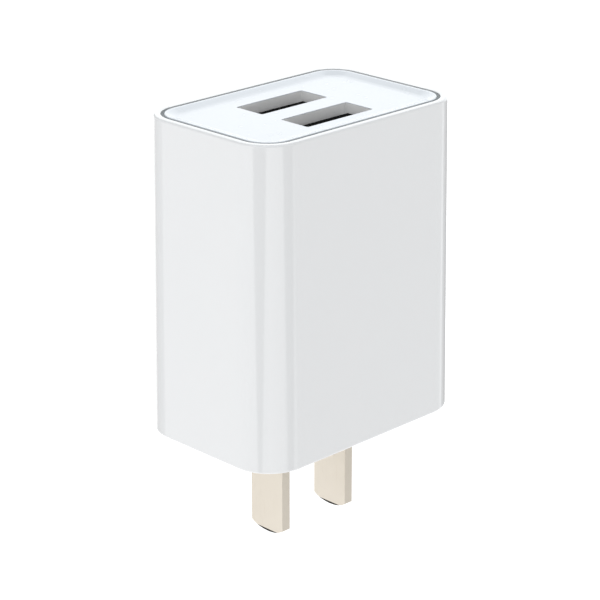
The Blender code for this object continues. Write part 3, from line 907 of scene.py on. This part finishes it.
@dataclass
class Blades:
    """Two flat plated blades with a shallow round tip, ground on both broad faces."""

    tip_radius: float = 5.7 * MM
    tip_chamfer: float = 0.40 * MM
    tip_slope: float = 0.30
    # Least downward share of a lead-in face's normal that gets the painted dark reflection.
    painted_reflection_fall: float = 0.20
    edge_round: float = 0.05 * MM
    long_edge: float = 5.0 * MM
    circle_steps: int = 160
    smooth_angle: float = 25.0
    merge_angle: float = 0.5

    def build(self) -> None:
        """Model the left blade, copy it to the right and dress both."""
        low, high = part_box("blade_left")
        left = self.shape(low, high)
        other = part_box("blade_right")[0]
        right = left.copy("blade_plate_right", (other.x - low.x, 0, 0))
        for piece, node in ((left, "blade_left"), (right, "blade_right")):
            piece.place(BLADE_PLATE, "blade", node)
            # The narrow sides get the sheared finish: its rougher grain is real, its darker
            # colour is painted shade.
            piece.paint(BLADE_SHEARED_PAINTED_SHADE, lambda centre, normal: abs(normal.y) > FACING)
            # The down-facing lead-in faces get near-black paint: a painted dark reflection.
            piece.paint(BLADE_LEAD_IN_PAINTED_REFLECTION, lambda centre, normal: (
                normal.z < -self.painted_reflection_fall and abs(normal.x) > FACING
            ))

    def shape(self, low: Vector, high: Vector) -> Workpiece:
        """Draw the tip's arc, extrude the blade from it and grind its lead-in.

        Args:
            low: Lowest corner of the blade.
            high: Its highest corner.

        Returns:
            The finished blade.
        """
        clear_selection()
        half = (high.y - low.y) / 2
        arc_z = low.z + self.tip_radius
        bpy.ops.mesh.primitive_circle_add(
            vertices=self.circle_steps, radius=self.tip_radius, fill_type="NGON",
            location=(low.x, 0, arc_z), rotation=(0, math.pi / 2, 0),
        )
        piece = Workpiece("blade_plate_left")
        shoulder_z = arc_z - math.sqrt(self.tip_radius ** 2 - half ** 2)
        piece.edit(Part.EDGES)
        piece.slice((0, 0, shoulder_z), (0, 0, 1))
        piece.pick_edges(lambda a, b: all(abs(end.z - shoulder_z) < FINE for end in (a, b)))
        piece.pull_edges((0, 0, high.z - shoulder_z))
        piece.select_all()
        bpy.ops.mesh.dissolve_limited(angle_limit=math.radians(self.merge_angle))
        piece.edit(Part.FACES)
        piece.select_all()
        piece.pull((high.x - low.x, 0, 0))
        piece.outward()
        for x, side in ((low.x, -1), (high.x, 1)):
            piece.edit(Part.FACES)
            piece.slice((x, 0, low.z + self.tip_chamfer), (side, 0, -self.tip_slope))
        piece.outward()
        self.break_edges(piece, low, high)
        piece.smooth(self.smooth_angle)
        return piece

    def break_edges(self, piece: Workpiece, low: Vector, high: Vector) -> None:
        """Round the long edges of both broad faces slightly.

        Args:
            piece: The blade.
            low: Lowest corner of the blade.
            high: Its highest corner.
        """
        piece.pick_edges(lambda a, b: abs(a.z - b.z) > self.long_edge and all(
            min(abs(end.x - low.x), abs(end.x - high.x)) < FINE for end in (a, b)
        ))
        piece.bevel(self.edge_round, 3)


# ---------------------------------------------------------------- sockets


@dataclass
class Socket:
    """A drawn shell, a moulded tongue and its contact strips."""

    side: Side
    wall: float = 0.3 * MM
    corner: float = 0.6 * MM
    mouth_drop: float = 0.03 * MM
    mouth_round: float = 0.05 * MM
    tongue_round: float = 0.08 * MM
    tongue_size: Pair = (11.1 * MM, 1.84 * MM)
    base_height: float = 3.2 * MM
    stem_overlap: float = 1.0 * MM
    groove_width: float = 1.2 * MM
    groove_depth: float = 0.12 * MM
    groove_end: float = 0.3 * MM
    contacts: int = 4
    corner_steps: int = 6

    def build(self) -> None:
        """Model the shell and the tongue."""
        self.build_shell()
        self.build_tongue()

    def build_shell(self) -> None:
        """Draw the tube and roll its mouth."""
        node = f"usb_shell_{self.side.value}"
        low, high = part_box(node)
        outline = Outline((high.x - low.x, high.y - low.y), self.corner)
        centre = ((low.x + high.x) / 2, (low.y + high.y) / 2, low.z)
        piece = Workpiece.plate(
            f"socket_shell_{self.side.value}", outline, centre, self.corner_steps
        )
        piece.inset(self.wall)
        bpy.ops.mesh.delete(type="ONLY_FACE")
        piece.select_all()
        piece.pull((0, 0, high.z - self.mouth_drop - low.z))
        piece.outward()
        mouth = high.z - self.mouth_drop
        piece.pick_edges(lambda a, b: min(a.z, b.z) > mouth - CLOSE and not (
            abs((a - b).length - self.wall) < 2 * CLOSE and self.is_radial(a, b, centre)
        ))
        piece.bevel(self.mouth_round, 3)
        piece.smooth()
        piece.place(SHELL_STEEL, "shell", node)

    @staticmethod
    def is_radial(a: Vector, b: Vector, centre: Point) -> bool:
        """Whether an edge of the mouth runs from the outer wall to the inner one.

        Args:
            a: One end of the edge.
            b: Its other end.
            centre: Middle of the shell.

        Returns:
            True if the edge points away from the middle.
        """
        middle = (a + b) / 2 - Vector(centre)
        span = b - a
        along = abs(span.x * middle.x + span.y * middle.y)
        return along > FACING * span.length * Vector((middle.x, middle.y)).length

    def build_tongue(self) -> None:
        """Model the insulator: a base, and a tongue with a groove for each contact."""
        side = self.side.value
        low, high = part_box(f"usb_tongue_{side}")
        centre_x = (low.x + high.x) / 2
        reach = self.tongue_size[0] / 2
        base_top = low.z + self.base_height
        piece = Workpiece.block(f"socket_tongue_{side}", tuple(low), (high.x, high.y, base_top))
        stem = Workpiece.block(
            "stem", (centre_x - reach, low.y, base_top - self.stem_overlap),
            (centre_x + reach, low.y + self.tongue_size[1], high.z),
        )
        stem.pick_edges(lambda a, b: min(a.z, b.z) > high.z - CLOSE)
        stem.bevel(self.tongue_round, 3)
        piece.combine(stem, Joining.ADD)
        half = self.groove_width / 2
        for number in range(1, self.contacts + 1):
            contact_low, contact_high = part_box(f"usb_contact_{side}_{number}")
            middle = (contact_low.x + contact_high.x) / 2
            tool = Workpiece.block(
                "contact_groove", (middle - half, low.y - MM, low.z - MM),
                (middle + half, low.y + self.groove_depth, contact_high.z + self.groove_end),
            )
            piece.combine(tool, Joining.CUT)
        piece.smooth()
        piece.place(TONGUE_BLACK, "tongue", f"usb_tongue_{side}")


# ---------------------------------------------------------------- inner parts


@dataclass
class Electrolytic:
    """A radial capacitor: a rolled can with a crimp, a scored lid and a marked side."""

    node: str
    slot: str
    finish: Finish
    mark: Finish
    crimp: tuple[Pair, ...] = ((0.12, 1.0), (0.16, 0.90), (0.20, 1.0))
    edge_round: float = 0.35 * MM
    fold: float = 0.55 * MM
    lid_drop: float = 0.12 * MM
    score_width: float = 0.16 * MM
    score_depth: float = 0.08 * MM
    score_reach: float = 0.5
    mark_start: float = 0.22
    mark_angle: float = 22.0
    steps: int = 64

    def build(self) -> None:
        """Turn the can, crimp it, sink and score its lid, and dress it."""
        low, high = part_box(self.node)
        radius, height = (high.x - low.x) / 2, high.z - low.z
        middle = (low + high) / 2
        foot = (middle.x, middle.y, low.z)
        piece = Workpiece.drum(f"{self.node}_can", radius, foot, height, self.steps)
        for run, scale in self.crimp:
            piece.ring((middle.x, middle.y, low.z + run * height), scale)
        piece.pick_edges(lambda a, b: a.z == b.z and min(a.z - low.z, high.z - a.z) < CLOSE)
        piece.bevel(self.edge_round, 4)
        piece.pick_faces(lambda centre, normal: normal.z > LEVEL)
        piece.inset(self.fold)
        piece.inset(self.lid_drop / 2, depth=-self.lid_drop)
        self.score_lid(piece, middle, radius, high.z - self.lid_drop)
        piece.smooth()
        piece.place(self.finish, self.slot, self.node)
        lid = radius - self.edge_round - self.fold
        piece.paint(CAN_ALUMINIUM, lambda centre, normal: (
            centre.z > high.z - 3 * self.lid_drop
            and math.hypot(centre.x - middle.x, centre.y - middle.y) < lid
        ))
        piece.paint(self.mark, lambda centre, normal: (
            abs(normal.z) < UPRIGHT and centre.z > low.z + self.mark_start * height
            and abs(math.degrees(math.atan2(centre.y - middle.y, middle.x - centre.x)))
            < self.mark_angle
        ))

    def score_lid(self, piece: Workpiece, middle: Vector, radius: float, level: float) -> None:
        """Press a cross into the lid.

        Args:
            piece: The can.
            middle: Its middle.
            radius: Its radius.
            level: Height of the lid.
        """
        half, depth, reach = self.score_width / 2, self.score_depth, self.score_reach * radius
        for reach_x, reach_y in ((reach, half), (half, reach)):
            tool = Workpiece.block(
                "score", (middle.x - reach_x, middle.y - reach_y, level - depth),
                (middle.x + reach_x, middle.y + reach_y, level + depth),
            )
            piece.combine(tool, Joining.CUT)


@dataclass
class Winding:
    """Copper wire laid in level turns round the transformer's middle."""

    node: str = "transformer_winding"
    corner: float = 1.2 * MM
    wall: float = 0.9 * MM
    turns: int = 16
    swell: float = 0.985
    rises: Point = (0.25, 0.5, 0.25)
    corner_steps: int = 5
    smooth_angle: float = 70.0

    def build(self) -> None:
        """Draw one turn's outline and raise it turn by turn."""
        low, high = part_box(self.node)
        middle = ((low.x + high.x) / 2, (low.y + high.y) / 2, low.z)
        outline = Outline((high.x - low.x, high.y - low.y), self.corner)
        piece = Workpiece.plate("winding_turns", outline, middle, self.corner_steps)
        piece.scale_about(middle, self.swell)
        piece.inset(self.wall)
        bpy.ops.mesh.delete(type="ONLY_FACE")
        piece.select_all()
        pitch = (high.z - low.z) / self.turns
        scales = (1 / self.swell, 1.0, self.swell)
        for _ in range(self.turns):
            for rise, scale in zip(self.rises, scales):
                piece.pull((0, 0, rise * pitch))
                piece.scale_about(middle, scale)
        piece.outward()
        piece.smooth(self.smooth_angle)
        piece.place(WIRE_COPPER, "winding", self.node)


@dataclass
class DiscCapacitor:
    """A dipped ceramic disc on two coated leads."""

    node: str = "y_capacitor"
    edge_round: float = 1.0 * MM
    lead_radius: float = 0.3 * MM
    lead_spacing: float = 5.0 * MM
    steps: int = 64
    lead_steps: int = 20

    def build(self) -> None:
        """Turn the disc, round its edges and join on the leads."""
        low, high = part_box(self.node)
        middle = (low + high) / 2
        radius = (high.x - low.x) / 2
        clear_selection()
        bpy.ops.mesh.primitive_cylinder_add(
            vertices=self.steps, radius=radius, depth=high.y - low.y,
            location=(middle.x, middle.y, high.z - radius), rotation=(math.pi / 2, 0, 0),
        )
        piece = Workpiece("disc_body")
        piece.pick_edges(lambda a, b: abs(a.y - b.y) < CLOSE)
        piece.bevel(self.edge_round, 6)
        for side in (-1, 1):
            foot = (middle.x + side * self.lead_spacing / 2, middle.y, low.z)
            lead = Workpiece.drum(
                "lead", self.lead_radius, foot, high.z - radius - low.z, self.lead_steps
            )
            piece.combine(lead, Joining.ADD)
        piece.smooth()
        piece.place(DISC_BLUE, "disc", self.node)


INNER_FINISHES = {
    "blade_carrier": CARRIER_PLASTIC,
    "blade_spring": SPRING_BRONZE,
    "mains_board": BOARD_GREEN,
    "socket_board": BOARD_GREEN,
    "fuse_resistor": FUSE_LACQUER,
    "input_choke": FERRITE_GREY,
    "transformer_core": FERRITE_GREY,
    "bridge_rectifier": CHIP_RESIN,
    "controller_chip": CHIP_RESIN,
    "optocoupler": CHIP_RESIN,
    "rectifier_diode": CHIP_RESIN,
    "socket_chip": CHIP_RESIN,
    "transformer_bobbin": BOBBIN_BLACK,
    "transformer_tape": TAPE_YELLOW,
    "riser_pin": PIN_TIN,
    "insulation_sheet": CARD_BUFF,
    "usb_contact": CONTACT_GILT,
}


def dress_inner_parts() -> None:
    """Give every solid that is still shown its finish."""
    for name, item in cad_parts.items():
        if item.hide_render:
            continue
        finish = next(
            finish for start, finish in INNER_FINISHES.items() if name.startswith(start)
        )
        item.data.materials.clear()
        item.data.materials.append(finish.material())
        LOG.info("%s: %s", name, finish.name)


# ---------------------------------------------------------------- studio


WHITE: Colour = (1.0, 1.0, 1.0)


@dataclass(frozen=True)
class StagePaint:
    """A plain glowing surface of the studio."""

    name: str
    grey: float
    glow: float
    roughness: float = 0.5
    specular: float = 0.5

    def material(self) -> bpy.types.Material:
        """Make the material.

        Returns:
            The Blender material.
        """
        material = bpy.data.materials.new(self.name)
        material.use_nodes = True
        inputs = material.node_tree.nodes["Principled BSDF"].inputs
        inputs["Base Color"].default_value = (self.grey, self.grey, self.grey, 1.0)
        inputs["Roughness"].default_value = self.roughness
        inputs["Specular IOR Level"].default_value = self.specular
        inputs["Emission Color"].default_value = (*WHITE, 1.0)
        inputs["Emission Strength"].default_value = self.glow
        return material


@dataclass(frozen=True)
class Softbox:
    """A square area light aimed at the charger, unseen by the camera."""

    name: str
    azimuth: float
    elevation: float
    distance: float
    side: float
    radiance: float
    colour: Colour

    def add(self) -> None:
        """Hang the light."""
        turn, rise = math.radians(self.azimuth), math.radians(self.elevation)
        toward = Vector((math.cos(rise) * math.cos(turn), math.cos(rise) * math.sin(turn),
                         math.sin(rise)))
        bpy.ops.object.light_add(type="AREA", location=toward * self.distance)
        light = bpy.context.object
        light.name = self.name
        light.rotation_euler = toward.to_track_quat("Z", "Y").to_euler()
        light.data.size = self.side
        light.data.energy = self.radiance * math.pi * self.side ** 2
        light.data.color = self.colour
        light.visible_camera = False


@dataclass(frozen=True)
class Card:
    """An upright reflecting card beside the charger, seen only in its gloss."""

    name: str
    azimuth: float
    spread: float
    radiance: float
    taper: float = 1.0
    distance: float = 300.0 * MM
    low: float = -150.0 * MM
    high: float = 0.0

    def add(self) -> None:
        """Stand the card up and narrow its lower edge."""
        clear_selection()
        turn = math.radians(self.azimuth)
        reach = (self.distance * math.cos(turn), self.distance * math.sin(turn))
        bpy.ops.mesh.primitive_plane_add(
            size=1, location=(*reach, (self.low + self.high) / 2),
            rotation=(math.pi / 2, 0, turn + math.pi / 2),
        )
        width = 2 * self.distance * math.tan(math.radians(self.spread / 2))
        bpy.context.object.scale = (width, self.high - self.low, 1)
        card = Workpiece(self.name)
        card.pick_edges(lambda a, b: max(a.z, b.z) < self.low + MM)
        card.scale_about((*reach, self.low), self.taper)
        card.done()
        paint = StagePaint(self.name, grey=0.0, glow=self.radiance, specular=0.0)
        card.item.data.materials.append(paint.material())
        card.item.visible_camera = False
        card.item.visible_diffuse = False
        card.item.visible_shadow = False


SOFTBOXES = (
    Softbox("key_left", 172.0, 12.0, 0.9, 0.6, 0.77, WHITE),
    Softbox("sky_top", 225.0, 82.0, 0.8, 0.9, 0.66, (0.88, 0.96, 1.0)),
    Softbox("back_right", 28.0, 13.0, 0.9, 1.2, 0.88, (0.94, 0.98, 1.0)),
)

CARDS = (
    Card("flag_front_left", 202.0, 44.0, 0.05, taper=0.05),
    Card("flag_front_right", 281.0, 34.0, 0.30, taper=0.45),
    Card("card_right", 321.0, 40.0, 0.84),
    Card("flag_far_right", 373.0, 44.0, 0.40),
    Card("flag_far_left", 71.0, 26.0, 1.15),
    Card("flag_left", 106.0, 43.0, 0.55),
    Card("strip_front", 243.0, 44.0, 1.35, distance=320.0 * MM),
)


@dataclass
class Studio:
    """Pale floor, soft lights and the camera."""

    camera_place: Point = (-202.3 * MM, -203.0 * MM, 124.6 * MM)
    camera_tilt: float = 69.471
    camera_turn: float = -44.837
    camera_lens: float = 131.3
    floor_z: float = -150.0 * MM
    floor_side: float = 6.0
    floor_paint: StagePaint = StagePaint("floor_white", grey=0.9, glow=0.40, roughness=0.9)
    world_light: float = 0.66

    def build(self) -> None:
        """Set up the camera, the floor, the world and the lights."""
        self.add_camera()
        self.add_floor()
        self.add_world()
        for softbox in SOFTBOXES:
            softbox.add()
        for card in CARDS:
            card.add()

    def add_camera(self) -> None:
        """Place the camera."""
        bpy.ops.object.camera_add(
            location=self.camera_place,
            rotation=(math.radians(self.camera_tilt), 0, math.radians(self.camera_turn)),
        )
        camera = bpy.context.object
        camera.data.lens = self.camera_lens
        camera.data.clip_start = 10 * MM
        bpy.context.scene.camera = camera

    def add_floor(self) -> None:
        """Lay the floor."""
        clear_selection()
        bpy.ops.mesh.primitive_plane_add(size=self.floor_side, location=(0, 0, self.floor_z))
        floor = bpy.context.object
        floor.name = "floor"
        material = self.floor_paint.material()
        self.open_from_below(material.node_tree)
        floor.data.materials.append(material)

    def open_from_below(self, tree: bpy.types.NodeTree) -> None:
        """Let a camera under the floor see through it.

        Args:
            tree: The floor material's nodes.
        """
        shader = tree.nodes["Principled BSDF"]
        clear = tree.nodes.new("ShaderNodeBsdfTransparent")
        side = tree.nodes.new("ShaderNodeNewGeometry")
        mix = tree.nodes.new("ShaderNodeMixShader")
        tree.links.new(side.outputs["Backfacing"], mix.inputs["Fac"])
        tree.links.new(shader.outputs["BSDF"], mix.inputs[1])
        tree.links.new(clear.outputs["BSDF"], mix.inputs[2])
        tree.links.new(mix.outputs["Shader"], tree.nodes["Material Output"].inputs["Surface"])

    def add_world(self) -> None:
        """Light everything softly from all round."""
        world = bpy.data.worlds.new("studio")
        world.use_nodes = True
        background = world.node_tree.nodes["Background"]
        background.inputs["Color"].default_value = (*WHITE, 1.0)
        background.inputs["Strength"].default_value = self.world_light
        bpy.context.scene.world = world
        bpy.context.scene.view_settings.view_transform = "Standard"


def main() -> None:
    """Build every sub-assembly in order."""
    logging.basicConfig(level=logging.INFO, format="%(name)s: %(message)s")
    Studio().build()
    rim = Casing().build()
    sockets = [Socket(side) for side in (Side.FRONT, Side.REAR)]
    EndCap().build(rim, sockets)
    Blades().build()
    for socket in sockets:
        socket.build()
    for number in (1, 2):
        Electrolytic(f"bulk_capacitor_{number}", "sleeve", SLEEVE_BLACK, MARK_GREY).build()
        Electrolytic(
            f"output_capacitor_{number}", "output_can", CAN_ALUMINIUM, MARK_VIOLET
        ).build()
    Winding().build()
    DiscCapacitor().build()
    dress_inner_parts()


if __name__ == "__main__":
    main()
